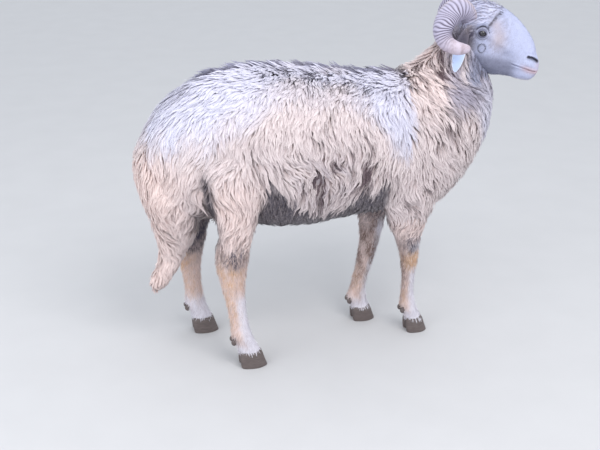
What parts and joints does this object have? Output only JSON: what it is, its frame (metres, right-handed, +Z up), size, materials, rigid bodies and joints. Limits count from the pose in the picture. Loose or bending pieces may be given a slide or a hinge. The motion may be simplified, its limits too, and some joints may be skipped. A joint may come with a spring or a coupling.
{
  "type": "karakul sheep",
  "caption": "Standing horned fat-tailed karakul ram in full fleece, head raised, still pose, life size.",
  "frame": {"origin": "on the floor, under the middle of the animal's bounding box", "axes": "+X towards the head, +Y to the animal's left, +Z up"},
  "size_m": [1.168, 0.4026, 1.021],
  "materials": {
    "fleece": "matt wavy wool",
    "face": "short pale hair",
    "leg_hair": "short cream hair, tan at the joints",
    "horn": "ridged horn",
    "hoof": "dull horn",
    "eye": "wet, glossy",
    "tag": "plain pale blue sheet"
  },
  "bodies": {
    "root": {"torso": "fleece", "neck": "fleece", "head": "face", "tail": "fleece", "tail_end": "fleece", "thigh_right": "fleece", "thigh_left": "fleece", "forearm_right": "fleece", "forearm_left": "fleece", "shank_right": "leg_hair", "shank_left": "leg_hair", "cannon_right": "leg_hair", "cannon_left": "leg_hair", "hoof_hind_right": "hoof", "hoof_hind_left": "hoof", "hoof_fore_right": "hoof", "hoof_fore_left": "hoof", "eye_right": "eye", "eye_left": "eye", "horn_right": "horn", "horn_left": "horn", "ear_right": "face", "ear_left": "face", "ear_tag": "tag"}
  },
  "joints": []
}
